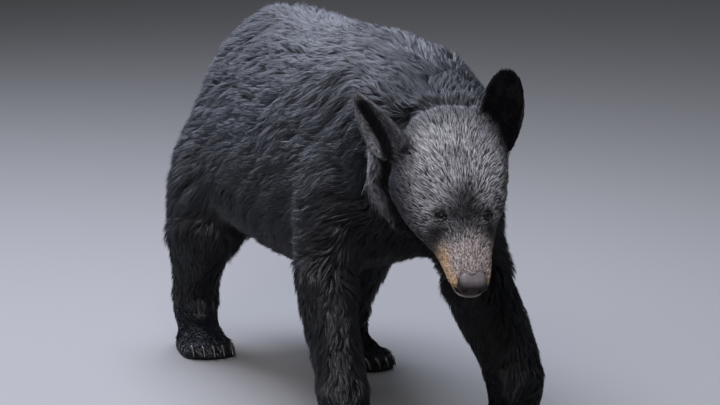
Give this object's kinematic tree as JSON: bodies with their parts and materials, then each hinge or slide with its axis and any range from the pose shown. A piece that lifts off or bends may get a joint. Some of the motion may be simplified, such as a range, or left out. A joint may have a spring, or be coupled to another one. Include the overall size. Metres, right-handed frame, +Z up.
{
  "type": "black bear",
  "caption": "Life-size black bear walking with lowered head and upright ears, thick dark coat, bare nose and curved claws, standing still on flat soles as a display figure.",
  "frame": {"origin": "on the floor, under the middle of the bear's box", "axes": "+Z up, the bear faces -Y, its left side is at +X; the long axis of the body runs along Y"},
  "size_m": [0.5152, 1.545, 0.7547],
  "materials": {
    "body_fur": "long straight guard hair over soft underfur, blue-black with a grey sheen, grizzled on the brow",
    "muzzle_fur": "very short flat hair, tan at the sides and grey-brown along the bridge",
    "nose_leather": "bare moist pebbled nose pad, satin",
    "eye_glass": "wet, clear over a dark brown iris",
    "claw_horn": "dark horn, lengthwise grain, worn satin at the tips"
  },
  "bodies": {
    "root": {"chest": "body_fur", "claw_forepaw_left_1": "claw_horn", "claw_forepaw_left_2": "claw_horn", "claw_forepaw_left_3": "claw_horn", "claw_forepaw_left_4": "claw_horn", "claw_forepaw_left_5": "claw_horn", "claw_forepaw_right_1": "claw_horn", "claw_forepaw_right_2": "claw_horn", "claw_forepaw_right_3": "claw_horn", "claw_forepaw_right_4": "claw_horn", "claw_forepaw_right_5": "claw_horn", "claw_hindfoot_left_1": "claw_horn", "claw_hindfoot_left_2": "claw_horn", "claw_hindfoot_left_3": "claw_horn", "claw_hindfoot_left_4": "claw_horn", "claw_hindfoot_left_5": "claw_horn", "claw_hindfoot_right_1": "claw_horn", "claw_hindfoot_right_2": "claw_horn", "claw_hindfoot_right_3": "claw_horn", "claw_hindfoot_right_4": "claw_horn", "claw_hindfoot_right_5": "claw_horn", "ear_left": "body_fur", "ear_right": "body_fur", "eye_left": "eye_glass", "eye_right": "eye_glass", "foreleg_left": "body_fur", "foreleg_right": "body_fur", "forepaw_left": "body_fur", "forepaw_right": "body_fur", "head": "body_fur", "hindfoot_left": "body_fur", "hindfoot_right": "body_fur", "hindleg_left": "body_fur", "hindleg_right": "body_fur", "loin": "body_fur", "lower_jaw": "muzzle_fur", "muzzle": "muzzle_fur", "neck": "body_fur", "nose": "nose_leather", "rump": "body_fur", "tail": "body_fur"}
  },
  "joints": []
}
